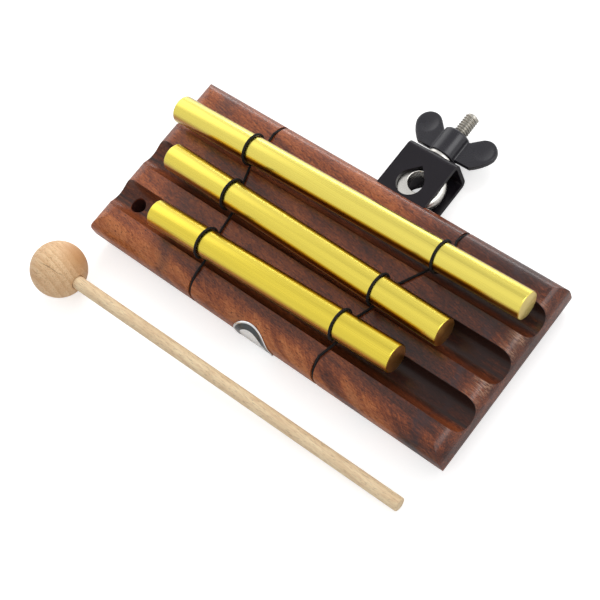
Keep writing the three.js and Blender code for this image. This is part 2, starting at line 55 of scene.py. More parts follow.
cameraView = {
    "azimuth": 65.329,    # degrees round the object
    "elevation": 59.834,  # degrees above the table
    "roll": -29.963,
    "distance": 581.778,  # mm from the aim
    "aim": (14.627, 5.194, 0),
    "lens": 81.91,
    "shiftX": -0.0947,
    "shiftY": -0.0368,
}


def addCamera(view):
    azimuth, elevation, roll = (radians(view[key]) for key in ("azimuth", "elevation", "roll"))
    back = Vector((sin(azimuth) * cos(elevation), -cos(azimuth) * cos(elevation), sin(elevation)))
    right = (-back).cross(Vector((0, 0, 1))).normalized()
    up = right.cross(-back)
    rolledRight = right * cos(roll) + up * sin(roll)
    rolledUp = up * cos(roll) - right * sin(roll)
    data = bpy.data.cameras.new("camera")
    data.lens = view["lens"]
    data.sensor_width = 36
    data.shift_x = view["shiftX"]
    data.shift_y = view["shiftY"]
    data.clip_start = 0.01
    data.clip_end = 20
    camera = bpy.data.objects.new("camera", data)
    place = Matrix((rolledRight, rolledUp, back)).transposed().to_4x4()
    place.translation = (Vector(view["aim"]) + back * view["distance"]) * mm
    camera.matrix_world = place
    scene.collection.objects.link(camera)
    scene.camera = camera


addCamera(cameraView)
print("camera placed")


# Shader helpers

# Gives inputs their values: a link from another node's output, or a constant
def feed(tree, node, values):
    for name, value in values.items():
        if isinstance(value, bpy.types.NodeSocket):
            tree.links.new(value, node.inputs[name])
        else:
            node.inputs[name].default_value = value


def addNode(tree, kind, values=None, **settings):
    node = tree.nodes.new(kind)
    for name, value in settings.items():
        setattr(node, name, value)
    feed(tree, node, values or {})
    return node


def calc(tree, operation, *values, clamp=False):
    node = addNode(tree, "ShaderNodeMath", dict(enumerate(values)), operation=operation, use_clamp=clamp)
    return node.outputs[0]


def times(tree, first, *others):
    for other in others:
        first = calc(tree, "MULTIPLY", first, other)
    return first


def plus(tree, first, *others):
    for other in others:
        first = calc(tree, "ADD", first, other)
    return first


def minus(tree, first, second):
    return calc(tree, "SUBTRACT", first, second)


# first * second + third
def timesPlus(tree, first, second, third):
    return calc(tree, "MULTIPLY_ADD", first, second, third)


# How far a value is from a place, on either side
def away(tree, value, place):
    return calc(tree, "ABSOLUTE", minus(tree, value, place))


def mix(tree, factor, low, high):
    return addNode(tree, "ShaderNodeMix", {0: factor, 2: low, 3: high}, data_type="FLOAT").outputs[0]


def vectorCalc(tree, operation, *values, output="Vector"):
    node = addNode(tree, "ShaderNodeVectorMath", dict(enumerate(values)), operation=operation)
    return node.outputs[output]


def split(tree, vector):
    return addNode(tree, "ShaderNodeSeparateXYZ", {0: vector}).outputs


def join(tree, x, y, z=0):
    return addNode(tree, "ShaderNodeCombineXYZ", {0: x, 1: y, 2: z}).outputs[0]


def blendColour(tree, factor, low, high, mode="MIX"):
    values = {0: factor, 6: low, 7: high}
    return addNode(tree, "ShaderNodeMix", values, data_type="RGBA", blend_type=mode).outputs[2]


def spread(tree, value, low, high, newLow=0, newHigh=1, smooth=False):
    values = {0: value, 1: low, 2: high, 3: newLow, 4: newHigh}
    kind = "SMOOTHSTEP" if smooth else "LINEAR"
    return addNode(tree, "ShaderNodeMapRange", values, interpolation_type=kind).outputs[0]


def noise(tree, vector, scale, detail=2, roughness=0.5, distortion=0):
    values = {"Vector": vector, "Scale": scale, "Detail": detail, "Roughness": roughness,
              "Distortion": distortion}
    return addNode(tree, "ShaderNodeTexNoise", values).outputs[0]


def stretch(tree, vector, scale, turn=(0, 0, 0), shift=(0, 0, 0)):
    values = {"Vector": vector, "Scale": scale, "Rotation": turn, "Location": shift}
    return addNode(tree, "ShaderNodeMapping", values).outputs[0]


# A node group that takes a vector and numbers, and gives numbers
def newGroup(name, inputs, outputs):
    group = bpy.data.node_groups.new(name, "ShaderNodeTree")
    group.interface.new_socket(name="Vector", in_out="INPUT", socket_type="NodeSocketVector")
    for way, labels in (("INPUT", inputs), ("OUTPUT", outputs)):
        for label in labels:
            group.interface.new_socket(name=label, in_out=way, socket_type="NodeSocketFloat")
    return group, group.nodes.new("NodeGroupInput").outputs, group.nodes.new("NodeGroupOutput")


def ramp(tree, value, stops):
    node = addNode(tree, "ShaderNodeValToRGB", {0: value})
    elements = node.color_ramp.elements
    while len(elements) < len(stops):
        elements.new(0.5)
    for element, (place, colour) in zip(elements, stops):
        element.position = place
        element.color = colour
    return node.outputs[0]


def useGroup(tree, group, values):
    return addNode(tree, "ShaderNodeGroup", values, node_tree=group).outputs


def startMaterial(name):
    material = bpy.data.materials.new(name)
    material.use_nodes = True
    tree = material.node_tree
    return material, tree, tree.nodes["Principled BSDF"]


# Object coordinates in millimetres
def millimetres(tree):
    coordinates = tree.nodes.new("ShaderNodeTexCoord").outputs["Object"]
    return vectorCalc(tree, "MULTIPLY", coordinates, (1000, 1000, 1000))


def bump(tree, shader, height, depth):
    node = addNode(tree, "ShaderNodeBump", {"Height": height, "Distance": depth * mm, "Strength": 1})
    feed(tree, shader, {"Normal": node.outputs[0]})


# Growth rings, fibres, pores and a slow figure; the grain runs along X
def woodGrainGroup():
    inputs = ["Ring Width", "Wander", "Fibre Length", "Fibre Width", "Pore Length", "Pore Width",
              "Figure Length", "Figure Width"]
    outputs = ["Rings", "Fibres", "Pores", "Figure", "Speckle", "Height"]
    tree, given, result = newGroup("woodGrain", inputs, outputs)
    vector = given["Vector"]

    def grainVector(kind):
        along = calc(tree, "DIVIDE", 1, given[kind + " Length"])
        across = calc(tree, "DIVIDE", 1, given[kind + " Width"])
        return vectorCalc(tree, "MULTIPLY", vector, join(tree, along, across, across))

    slow = noise(tree, stretch(tree, vector, (0.011, 0.05, 0.05)), 1, 2)
    crosswise = vectorCalc(tree, "MULTIPLY", vector, (0, 1, 1))
    radius = vectorCalc(tree, "LENGTH", crosswise, output="Value")
    wandering = timesPlus(tree, slow, given["Wander"], radius)
    rings = calc(tree, "FRACT", calc(tree, "DIVIDE", wandering, given["Ring Width"]))
    late = calc(tree, "POWER", rings, 2.5)
    fibres = noise(tree, grainVector("Fibre"), 1, 4, 0.6)
    pores = spread(tree, noise(tree, grainVector("Pore"), 1, 1), 0.6, 0.7, smooth=True)
    feed(tree, result, {
        "Rings": times(tree, late, spread(tree, rings, 0.93, 1.0, 1, 0, True)),
        "Fibres": fibres,
        "Pores": pores,
        "Figure": noise(tree, grainVector("Figure"), 1, 3, 0.5, 0.4),
        "Speckle": noise(tree, stretch(tree, vector, (0.8, 2.1, 2.1)), 1, 3, 0.75),
        "Height": minus(tree, times(tree, fibres, 0.4), pores),
    })
    return tree


# Two families of yarns going over and under each other round a cord
def braidGroup():
    tree, given, result = newGroup("braid", ["Yarns"], ["Height", "GapShade"])
    parts = split(tree, given["Vector"])
    counted = [times(tree, calc(tree, way, parts[0], parts[1]), given["Yarns"]) for way in ("ADD", "SUBTRACT")]
    crowns = [calc(tree, "SINE", times(tree, calc(tree, "FRACT", count), pi)) for count in counted]
    steps = plus(tree, *[calc(tree, "FLOOR", count) for count in counted])
    height = mix(tree, calc(tree, "PINGPONG", steps, 1), *crowns)
    # painted shade: darker where the yarns dip between each other
    feed(tree, result, {"Height": height, "GapShade": spread(tree, height, 0.0, 0.45, 1, 0)})
    return tree


# Lighter edges, smudges and fine grit; the edges come from how sharply the surface turns, and are partly wear
# and partly a painted highlight
def wearAndEdgeHighlightGroup():
    tree, given, result = newGroup("wearAndEdgeHighlight", ["Start", "Spots"], ["Edges", "Smudges", "Grit"])
    vector = given["Vector"]
    pointed = tree.nodes.new("ShaderNodeNewGeometry").outputs["Pointiness"]
    start = timesPlus(tree, noise(tree, vector, given["Spots"], 4, 0.6), 0.06, given["Start"])
    feed(tree, result, {
        "Edges": spread(tree, minus(tree, pointed, start), 0, 0.05, smooth=True),
        "Smudges": spread(tree, noise(tree, vector, 0.12, 3, 0.55, 0.6), 0.4, 0.7, smooth=True),
        "Grit": noise(tree, vector, 7, 3, 0.6),
    })
    return tree


woodGrain = woodGrainGroup()
braid = braidGroup()
wearAndEdgeHighlight = wearAndEdgeHighlightGroup()


# Piece helpers

def linkPiece(name, mesh, body, material, nodes, smoothAngle=30):
    piece = bpy.data.objects.new(name, mesh)
    scene.collection.objects.link(piece)
    mesh.polygons.foreach_set("use_smooth", [True] * len(mesh.polygons))
    mesh.set_sharp_from_angle(angle=radians(smoothAngle))
    mesh.materials.clear()
    mesh.materials.append(material)
    if body:
        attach(piece, body)
    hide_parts(*nodes)
    return piece


def meshFrom(bm, name):
    bmesh.ops.remove_doubles(bm, verts=bm.verts, dist=1e-7)
    bmesh.ops.recalc_face_normals(bm, faces=bm.faces)
    mesh = bpy.data.meshes.new(name)
    bm.to_mesh(mesh)
    bm.free()
    return mesh


# A CAD node's shape with its loose triangles merged into clean faces
def mergedCopy(node, name):
    bm = bmesh.new()
    bm.from_mesh(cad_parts[node].data)
    bmesh.ops.remove_doubles(bm, verts=bm.verts, dist=2e-6)
    bmesh.ops.dissolve_limit(bm, angle_limit=radians(0.4), verts=bm.verts, edges=bm.edges)
    mesh = bpy.data.meshes.new(name)
    bm.to_mesh(mesh)
    bm.free()
    return mesh


def softenEdges(piece, width):
    bevel = piece.modifiers.new("bevel", "BEVEL")
    bevel.width = width * mm
    bevel.segments = 2
    bevel.limit_method = "ANGLE"
    bevel.angle_limit = radians(35)
    bevel.miter_outer = "MITER_ARC"
    evenNormals(piece)


def evenNormals(piece):
    weighted = piece.modifiers.new("evenNormals", "WEIGHTED_NORMAL")
    weighted.keep_sharp = True
    weighted.weight = 80


# Points in metres from a turned outline of (radius, place along Y) in mm
def alongY(outline):
    return [Vector((radius, y, 0)) * mm for radius, y in outline]


# Turns a line of points into a shape round an axis
def spinPoints(bm, points, steps, axis=(0, 1, 0), centre=(0, 0, 0), closed=False):
    verts = [bm.verts.new(point) for point in points]
    edges = [bm.edges.new(pair) for pair in zip(verts, verts[1:] + verts[:1] * closed)]
    bmesh.ops.spin(bm, geom=verts + edges, cent=centre, axis=axis, angle=2 * pi, steps=steps, use_merge=True)


# Rods: three lengths of the same bar stock

rodStock = {
    "diameter": 12.7,
    "edge": 0.5,
    "segments": 96,
    "axisHeight": 27.69,
    "bar_short": {"length": 131.7, "x": -0.97, "y": -22.37, "yaw": 1.5},
    "bar_mid": {"length": 153.6, "x": -2.54, "y": -0.2, "yaw": -0.94},
    "bar_long": {"length": 187.8, "x": 1.24, "y": 23.39, "yaw": 0.97},
}
rodNames = ["bar_short", "bar_mid", "bar_long"]


# Elastic cords: each has a run under the block, a loop round every rod and short
# strands over the ridges

cordLook = {
    "diameter": 1.1,
    "sides": 14,
    "loopRadius": 7.02,
    "ridgeHeight": 20.67,
    "sink": 0.85,          # under the block's surface in the kerfs
    "endGap": 1.8,
    "edgeRadius": 8,
    "edgeStart": 35.5,
    "blockHeight": 20,
    "loopSteps": 48,
    "edgeSteps": 12,
    "yarns": 8,
    "yarnDepth": 0.07,
    "gloss": 0.25,
    "colour": (0.008, 0.007, 0.008, 1),
    "fuzzColour": (0.022, 0.020, 0.022, 1),
    "gapShadeColour": (0.002, 0.002, 0.002, 1),
}
cordRoutes = {
    "cord_left": {
        "near": -36.3, "far": -51.3,
        # along the rod: coming in underneath, far side, near side, leaving underneath
        "loops": [(-37.2, -37.6, -37.1, -39), (-42.3, -43.4, -42.8, -44), (-51.9, -49.9, -49, -49.5)],
    },
    "cord_right": {
        "near": 34.1, "far": 51,
        "loops": [(37.9, 36.1, 36.8, 33.6), (41.6, 39.8, 40.4, 37.4), (52.1, 52.4, 53.3, 54.7)],
    },
}


def smoothStep(value, low, high):
    share = min(1, max(0, (value - low) / (high - low)))
    return share * share * (3 - 2 * share)


# The cord's way round one long edge, from the underside up to the ridge
def edgeRun(look, x, side):
    radius = look["edgeRadius"] - look["sink"]
    lift = look["ridgeHeight"] - look["blockHeight"] + look["sink"]
    angles = [pi / 2 * i / look["edgeSteps"] for i in range(look["edgeSteps"] + 1)]
    points = []
    for angle in angles:
        y = look["edgeStart"] + radius * sin(angle)
        points.append(Vector((x, side * y, look["edgeRadius"] - radius * cos(angle))))
    for angle in angles:
        share = max(0, angle - pi / 4) / (pi / 4)
        reach = radius + lift * share * share
        z = look["blockHeight"] - look["edgeRadius"] + reach * sin(angle)
        points.append(Vector((x, side * (look["edgeStart"] + reach * cos(angle)), z)))
    return points


# One full turn round a rod: it swings in over the first quarter and out over the last
def loopRun(look, loop, rod):
    enter, far, near, leave = loop
    points = []
    for i in range(look["loopSteps"] + 1):
        share = i / look["loopSteps"]
        if share < 0.25:
            x = enter + (far - enter) * smoothStep(share, 0, 0.25)
        elif share > 0.75:
            x = near + (leave - near) * smoothStep(share, 0.75, 1)
        else:
            x = far + (near - far) * (share - 0.25) * 2
        turn = 2 * pi * share
        y = rod["y"] + (x - rod["x"]) * tan(radians(rod["yaw"])) + look["loopRadius"] * sin(turn)
        points.append(Vector((x, y, rodStock["axisHeight"] - look["loopRadius"] * cos(turn))))
    return points


def straightRun(start, end, steps=10):
    return [start.lerp(end, i / steps) for i in range(steps + 1)]


# The cord's stretches in order: a label, its points, and what carries it from and to
def cordStretches(look, route):
    middle = Vector(((route["near"] + route["far"]) / 2, 0, look["sink"]))
    along = Vector((route["far"] - route["near"], 2 * look["edgeStart"], 0)).normalized()
    start, end = (middle + along * look["endGap"] / 2 * way for way in (-1, 1))
    nearEdge = edgeRun(look, route["near"], -1)
    farEdge = edgeRun(look, route["far"], 1)[::-1]
    loops = [loopRun(look, loop, rodStock[name]) for loop, name in zip(route["loops"], rodNames)]
    stretches = [("nearRun", straightRun(start, nearEdge[0]) + nearEdge[1:], "base", None),
                 ("nearStrand", straightRun(nearEdge[-1], loops[0][0]), "base", "bar_short")]
    for i, name in enumerate(rodNames):
        stretches.append((name + "Loop", loops[i], name, None))
        if i < 2:
            half = loops[i][-1].lerp(loops[i + 1][0], 0.5)
            following = rodNames[i + 1]
            stretches.append((name + "StrandOut", straightRun(loops[i][-1], half), name, "base"))
            stretches.append((following + "StrandIn", straightRun(half, loops[i + 1][0]), "base", following))
    stretches.append(("farStrand", straightRun(loops[2][-1], farEdge[0]), "bar_long", "base"))
    stretches.append(("farRun", farEdge + straightRun(farEdge[-1], end)[1:], "base", None))
    return stretches


# Places along a run, each square to it, without twist
def squareFrames(points):
    frames, side = [], Vector((0, 0, 1))
    for i, point in enumerate(points):
        back = (point - points[max(i - 1, 0)]).normalized()
        ahead = (points[min(i + 1, len(points) - 1)] - point).normalized()
        tangent = (back + ahead).normalized()
        side = (side - tangent * side.dot(tangent)).normalized()
        place = Matrix((side, tangent.cross(side), tangent)).transposed().to_4x4()
        place.translation = point
        frames.append(place)
    return frames


# A closed tube whose UV map goes round it in U and along it in V, in turns of the cord
def tubeMesh(name, frames, distances, radius, sides):
    bm = bmesh.new()
    uv = bm.loops.layers.uv.new("alongCord")
    ring = bmesh.ops.create_circle(bm, segments=sides, radius=radius, matrix=frames[0])["verts"]
    edges = list({edge for vert in ring for edge in vert.link_edges})
    rings, firstEdges = [(ring, 0)], edges
    for i in range(1, len(frames)):
        made = bmesh.ops.extrude_edge_only(bm, edges=edges)["geom"]
        ring = [item for item in made if isinstance(item, bmesh.types.BMVert)]
        edges = [item for item in made if isinstance(item, bmesh.types.BMEdge)
                 and all(vert in ring for vert in item.verts)]
        bmesh.ops.transform(bm, matrix=frames[i] @ frames[i - 1].inverted(), verts=ring)
        rings.append((ring, i))
    places = {}
    for ring, i in rings:
        toRing = frames[i].inverted()
        for vert in ring:
            local = toRing @ vert.co
            places[vert] = ((atan2(local.y, local.x) / (2 * pi)) % 1, distances[i] / (2 * pi * radius))
    for face in bm.faces:
        turns = [places[loop.vert][0] for loop in face.loops]
        for loop in face.loops:
            turn, along = places[loop.vert]
            if max(turns) - min(turns) > 0.5 and turn < 0.5:
                turn += 1
            loop[uv].uv = (turn, along)
    bmesh.ops.edgeloop_fill(bm, edges=firstEdges)
    bmesh.ops.edgeloop_fill(bm, edges=edges)
    return meshFrom(bm, name)


def elasticMaterial(look):
    material, tree, shader = startMaterial("braidedElastic")
    uv = addNode(tree, "ShaderNodeUVMap", uv_map="alongCord").outputs[0]
    woven = useGroup(tree, braid, {"Vector": uv, "Yarns": look["yarns"]})
    fuzz = noise(tree, millimetres(tree), 9, 3, 0.7)
    # painted shade in the gaps between the yarns
    colour = blendColour(tree, woven["GapShade"], look["colour"], look["gapShadeColour"])
    feed(tree, shader, {
        "Base Color": blendColour(tree, spread(tree, fuzz, 0.5, 0.75, 0, 0.5), colour, look["fuzzColour"]),
        "Roughness": spread(tree, fuzz, 0.3, 0.7, 0.62, 0.85),
        "Specular IOR Level": look["gloss"],
    })
    bump(tree, shader, timesPlus(tree, fuzz, 0.25, woven["Height"]), look["yarnDepth"])
    return material


def makeCords():
    material = elasticMaterial(cordLook)
    radius = cordLook["diameter"] / 2 * mm
    for cordName, route in cordRoutes.items():
        stretches = cordStretches(cordLook, route)
        points, spans = [], []
        for label, run, first, second in stretches:
            if points:
                run = run[1:]
            points += [point * mm for point in run]
            spans.append((max(0, len(points) - len(run) - 1), len(points) - 1))
        distances = [0]
        for i in range(1, len(points)):
            distances.append(distances[-1] + (points[i] - points[i - 1]).length)
        frames = squareFrames(points)
        for (label, run, first, second), (low, high) in zip(stretches, spans):
            name = cordName + "_" + label
            part = slice(low, high + 1)
            mesh = tubeMesh(name, frames[part], distances[part], radius, cordLook["sides"])
            if second is None:
                linkPiece(name, mesh, first, material, [cordName], 60)
                continue
            piece = linkPiece(name, mesh, None, material, [cordName], 60)
            low, high = (points[low], points[high]) if first == "base" else (points[high], points[low])
            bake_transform(piece)


makeCords()
print("cords wound")


# Gold anodised rods

rodLook = {
    # painted light and reflection: the same gold is deeper towards the near side, where dark wood is mirrored,
    # and paler towards the far side, where the bright backdrop is mirrored; the ends likewise
    "nearShadedGold": (0.80, 0.63, 0.06, 1),
    "farLitGold": (0.83, 0.70, 0.13, 1),
    "deepShade": 0.93,
    "flankReflectionTone": (0.56, 0.29, 0.08, 1),  # painted reflection: a deeper tone along both flanks, standing for the dark wood mirrored there
    "flankFrom": 4.4,      # mm above the axis, where that tone starts
    "flankFull": 2.4,
    "flankTo": 1.5,
    "nearShadedEnd": (0.74, 0.37, 0.09, 1),
    "farLitEnd": (0.86, 0.68, 0.22, 1),
    "coat": 0.35,
    "coatRoughness": 0.14,
    "roughness": 0.27,
    "endRoughness": 0.34,
    "brushing": (0.012, 1.6, 1.6),       # how fine along X, Y and Z
    "broadBrushing": (0.004, 0.5, 0.5),
    "turning": 0.012,      # mm, depth of the turning marks on the ends
    "ringPhase": 120,      # radians of them between the axis and the rim
}


def goldMaterial(look):
    material, tree, shader = startMaterial("goldAnodised")
    vector = millimetres(tree)
    y, z = split(tree, vector)[1:]
    brushed = noise(tree, stretch(tree, vector, look["brushing"]), 1, 1, 0.4)
    broad = noise(tree, stretch(tree, vector, look["broadBrushing"]), 1, 1)
    tone = plus(tree, times(tree, brushed, 0.5), times(tree, broad, 0.5))
    # painted light: deeper gold towards the near side, paler towards the far side
    gold = blendColour(tree, spread(tree, y, -24, 26), look["nearShadedGold"], look["farLitGold"])
    # painted reflection: between these heights above the axis each flank takes the deeper tone
    above = minus(tree, z, rodStock["axisHeight"])
    flankReflection = times(tree, spread(tree, above, look["flankFrom"], look["flankFull"], 0, 1, True),
                  spread(tree, above, look["flankTo"] - 1.2, look["flankTo"], 0, 1, True))
    gold = blendColour(tree, flankReflection, gold, blendColour(tree, 1.0, gold, look["flankReflectionTone"], "MULTIPLY"))
    shade = spread(tree, tone, 0.35, 0.65, look["deepShade"], 1)
    side = blendColour(tree, 1.0, gold, join(tree, shade, shade, shade), "MULTIPLY")
    # painted shade on the nearer ends, painted light on the far one
    end = blendColour(tree, spread(tree, y, 8, 22), look["nearShadedEnd"], look["farLitEnd"])
    radial, onEnd = (addNode(tree, "ShaderNodeAttribute", attribute_name=name).outputs["Fac"]
                     for name in ("fromAxis", "endFace"))
    rough = spread(tree, tone, 0.3, 0.7, look["roughness"] - 0.04, look["roughness"] + 0.05)
    feed(tree, shader, {
        "Base Color": blendColour(tree, onEnd, side, end),
        "Metallic": 1,
        "Roughness": timesPlus(tree, onEnd, look["endRoughness"] - look["roughness"], rough),
        "Coat Weight": look["coat"],
        "Coat Roughness": look["coatRoughness"],
    })
    turned = calc(tree, "SINE", times(tree, radial, look["ringPhase"]))
    bump(tree, shader, times(tree, turned, onEnd), look["turning"])
    return material


def makeRods():
    material = goldMaterial(rodLook)
    radius = rodStock["diameter"] / 2
    for name in rodNames:
        rod = rodStock[name]
        bm = bmesh.new()
        bmesh.ops.create_cone(bm, cap_ends=True, segments=rodStock["segments"], radius1=radius * mm,
                              radius2=radius * mm, depth=rod["length"] * mm)
        rims = [edge for edge in bm.edges if any(len(face.verts) > 4 for face in edge.link_faces)]
        bmesh.ops.bevel(bm, geom=rims, offset=rodStock["edge"] * mm, offset_type="OFFSET", segments=3,
                        profile=0.5, affect="EDGES", material=-1)
        bmesh.ops.poke(bm, faces=[face for face in bm.faces if len(face.verts) > 4])
        fromAxis = bm.verts.layers.float.new("fromAxis")
        endFace = bm.verts.layers.float.new("endFace")
        for vert in bm.verts:
            vert[fromAxis] = vert.co.xy.length / (radius * mm)
            atEnd = abs(abs(vert.co.z) - rod["length"] * mm / 2) < 1e-6
            vert[endFace] = 1 if atEnd else 0
        place = Matrix.Translation(Vector((rod["x"], rod["y"], rodStock["axisHeight"])) * mm)
        place = place @ Matrix.Rotation(radians(rod["yaw"]), 4, "Z") @ Matrix.Rotation(pi / 2, 4, "Y")
        bmesh.ops.transform(bm, matrix=place, verts=bm.verts)
        linkPiece(name + "Rod", meshFrom(bm, name + "Rod"), name, material, [name], 35)


makeRods()
print("rods turned")


# Block: dark reddish hardwood under a satin lacquer

blockLook = {
    "tones": [  # from the darkest figure to the palest
        (0.0, (0.026, 0.007, 0.005, 1)),
        (0.28, (0.085, 0.020, 0.009, 1)),
        (0.5, (0.192, 0.046, 0.016, 1)),
        (0.72, (0.335, 0.089, 0.026, 1)),
        (1.0, (0.500, 0.170, 0.055, 1)),
    ],
    "bandColour": (0.040, 0.019, 0.021, 1),
    "poreColour": (0.024, 0.009, 0.007, 1),
    # partly a painted highlight: pale end-grain streaks at the right end
    "streakAndHighlightColour": (0.52, 0.29, 0.18, 1),
    "grainStreaksAndHighlight": 0.65,
    "grooveSpacing": 23.3,
    "grooveRadius": 7.29,
    "grooveAxis": 20.79,       # height of the grooves' axes
    "holePlace": (-87.2, -23.3),
    # painted shade and light inside the grooves: the floor, the far wall and the near wall
    "grooveFloorShade": (0.026, 0.012, 0.010, 1),
    "farWall": (0.018, 0.007, 0.005, 1),
    "nearWall": (0.150, 0.042, 0.015, 1),
    "pith": (0, 70, -55),      # mm, middle of the growth rings
    "ringTilt": (0, 3.5, 9),   # degrees between the rings and the board
    "grain": {"Ring Width": 6.5, "Wander": 24, "Fibre Length": 3.6, "Fibre Width": 0.6, "Pore Length": 1.7,
              "Pore Width": 0.42, "Figure Length": 45, "Figure Width": 9},
    "flameSlant": 0.83,
    "flameShift": 24,      # mm along X
    "flameDrift": 12,
    "paleFlame": 43,       # mm along X, where a pale flame crosses the near side
    "roughness": 0.42,
    "gloss": 0.1,
    "coat": 0.7,
    "grooveCoat": 0.3,
    "coatRoughness": 0.24,
    "grainDepth": 0.04,
    "edge": 0.3,
    # where the block is paler or darker: along X or across Y, from, in full from, and how much paler; the paler
    # near and far edges are partly the wood's tone and partly painted light
    "toneShifts": [("x", -20, -90, 0.1), ("x", 20, 80, -0.3), ("y", -33, -39, 0.28), ("y", 30, 40, 0.05),
                   ("x", 86, 94, 0.16)],
    "bandWander": 22,
    # dark bands across the board: place along X, lean, width, strength
    "bands": [(-68, 0.35, 6, 0.6), (85, 0.05, 4, 0.8), (12, -0.5, 4, 0.25), (44, 0.3, 5, 0.2)],
}


def hardwoodMaterial(look):
    material, tree, shader = startMaterial("hardwood")
    vector = millimetres(tree)
    x, y, z = split(tree, vector)
    tilt = [radians(value) for value in look["ringTilt"]]
    fromPith = stretch(tree, vector, (1, 1, 1), tilt, [-value for value in look["pith"]])
    grain = useGroup(tree, woodGrain, {"Vector": fromPith, **look["grain"]})

    # flames cross the near side on the slant: they keep to lines of equal x + slant * (y + z)
    down = plus(tree, y, z)
    leaning = timesPlus(tree, down, look["flameSlant"], x)
    drifting = timesPlus(tree, noise(tree, vector, 0.03, 1), look["flameDrift"], leaning)
    slant = plus(tree, drifting, look["flameShift"])
    flames = noise(tree, join(tree, times(tree, slant, 0.085), times(tree, down, 0.01)), 1, 3, 0.6)
    fine = noise(tree, join(tree, times(tree, slant, 1.3), times(tree, down, 0.04)), 1, 3, 0.65)
    nearSide = spread(tree, y, -33, -40, 0.12, 1, True)
    flameDepth = times(tree, nearSide, spread(tree, x, -10, 40, 1.1, 1.9, True))
    paleFlame = spread(tree, away(tree, leaning, look["paleFlame"]), 4, 15, 0.4, 0, True)
    tone = 0.5
    for value, amount in ((flames, flameDepth), (fine, times(tree, nearSide, 0.8)), (grain["Figure"], 0.8),
                          (grain["Fibres"], -0.9), (grain["Speckle"], spread(tree, nearSide, 0, 1, 1, 0.45))):
        tone = timesPlus(tree, minus(tree, value, 0.5), amount, tone)
    tone = timesPlus(tree, grain["Rings"], -0.16, tone)
    tone = plus(tree, tone, times(tree, nearSide, spread(tree, x, 65, 90, 0, -0.22, True)),
                times(tree, nearSide, paleFlame))
    for axis, first, full, paler in look["toneShifts"]:
        tone = plus(tree, tone, spread(tree, x if axis == "x" else y, first, full, 0, paler, True))
    colour = ramp(tree, calc(tree, "ADD", tone, 0, clamp=True), look["tones"])

    wobble = minus(tree, noise(tree, vector, 0.09, 3, 0.6), 0.5)
    broken = spread(tree, grain["Fibres"], 0.3, 0.6, 0.5, 1)
    for place, lean, width, strength in look["bands"]:
        shift = timesPlus(tree, y, lean, minus(tree, x, place))
        shift = timesPlus(tree, wobble, look["bandWander"], shift)
        band = spread(tree, calc(tree, "ABSOLUTE", shift), 0, width, strength, 0, True)
        colour = blendColour(tree, times(tree, band, broken), colour, look["bandColour"])

    # inside the grooves, painted shade and light: a shaded dark floor, a far wall darker still in painted
    # shadow, and a near wall painted brown as if lit
    lane = calc(tree, "DIVIDE", y, look["grooveSpacing"])
    across = times(tree, minus(tree, lane, calc(tree, "ROUND", lane)), look["grooveSpacing"])
    aside = calc(tree, "ABSOLUTE", y)
    fromAxis = join(tree, across, minus(tree, z, look["grooveAxis"]))
    inside = spread(tree, vectorCalc(tree, "LENGTH", fromAxis, output="Value"),
                    look["grooveRadius"] + 0.2, look["grooveRadius"] + 0.05)
    inside = times(tree, inside, spread(tree, aside, 34, 33))
    veins = spread(tree, noise(tree, stretch(tree, vector, (0.03, 0.5, 0.5)), 1, 2), 0.35, 0.6, 0.5, 1)
    # the painted shade on the floor eases towards the far side at the left end
    lighter = times(tree, spread(tree, across, 0, 4), spread(tree, x, -20, -80, 0, 0.55))
    shadedFloor = times(tree, spread(tree, across, -5.2, -2, 0, 1, True), inside, minus(tree, 1, lighter), veins)
    farWallShadow = times(tree, spread(tree, across, 2, 6, 0, 0.92, True), inside,
                      spread(tree, x, -80, -20, 0.3, 1, True))
    litNearWall = times(tree, spread(tree, across, -3, -5.5, 0, 0.5, True), inside)
    # painted shade down the hole near the left end
    holeShade = times(tree, *[spread(tree, away(tree, value, place), 4, 3.6)
                           for value, place in zip((x, y), look["holePlace"])],
                   spread(tree, z, 13.6, 12.8, 0, 0.85))

    # pale streaks beside the grooves' mouths: end-grain lines, in pale patches that are a painted highlight
    lines = noise(tree, stretch(tree, vector, (0.16, 2.4, 0.5)), 1, 2, 0.6)
    highlightPatches = noise(tree, stretch(tree, vector, (0.1, 0.16, 0.1)), 1, 1)
    grainStreaksAndHighlight = times(tree, spread(tree, lines, 0.44, 0.58, 0, look["grainStreaksAndHighlight"]), spread(tree, x, 91, 95),
                    spread(tree, x, 99.5, 98), spread(tree, aside, 34, 24), spread(tree, z, 12, 16),
                    spread(tree, highlightPatches, 0.36, 0.5, 0.25, 1), spread(tree, inside, 0, 0.2, 1, 0))
    for mask, tint in ((shadedFloor, "grooveFloorShade"), (farWallShadow, "farWall"), (litNearWall, "nearWall"),
                       (holeShade, "bandColour"), (times(tree, grain["Pores"], 0.7), "poreColour"),
                       (grainStreaksAndHighlight, "streakAndHighlightColour")):
        colour = blendColour(tree, mask, colour, look[tint])

    feed(tree, shader, {
        "Base Color": colour,
        "Roughness": spread(tree, grain["Fibres"], 0.3, 0.7, look["roughness"] - 0.05, look["roughness"] + 0.1),
        "Specular IOR Level": look["gloss"],
        "Coat Weight": times(tree, spread(tree, inside, 0, 1, look["coat"], look["grooveCoat"]),
                             spread(tree, nearSide, 0, 1, 1, 0.6)),
        "Coat Roughness": look["coatRoughness"],
    })
    bump(tree, shader, grain["Height"], look["grainDepth"])
    return material


def makeBlock():
    block = linkPiece("grooveBlock", mergedCopy("block", "grooveBlock"), "base",
                      hardwoodMaterial(blockLook), ["block"], 28)
    softenEdges(block, blockLook["edge"])


makeBlock()
print("block shaped")


# Rod clamp: black strap, two screws, eyebolt, washer and wing nut

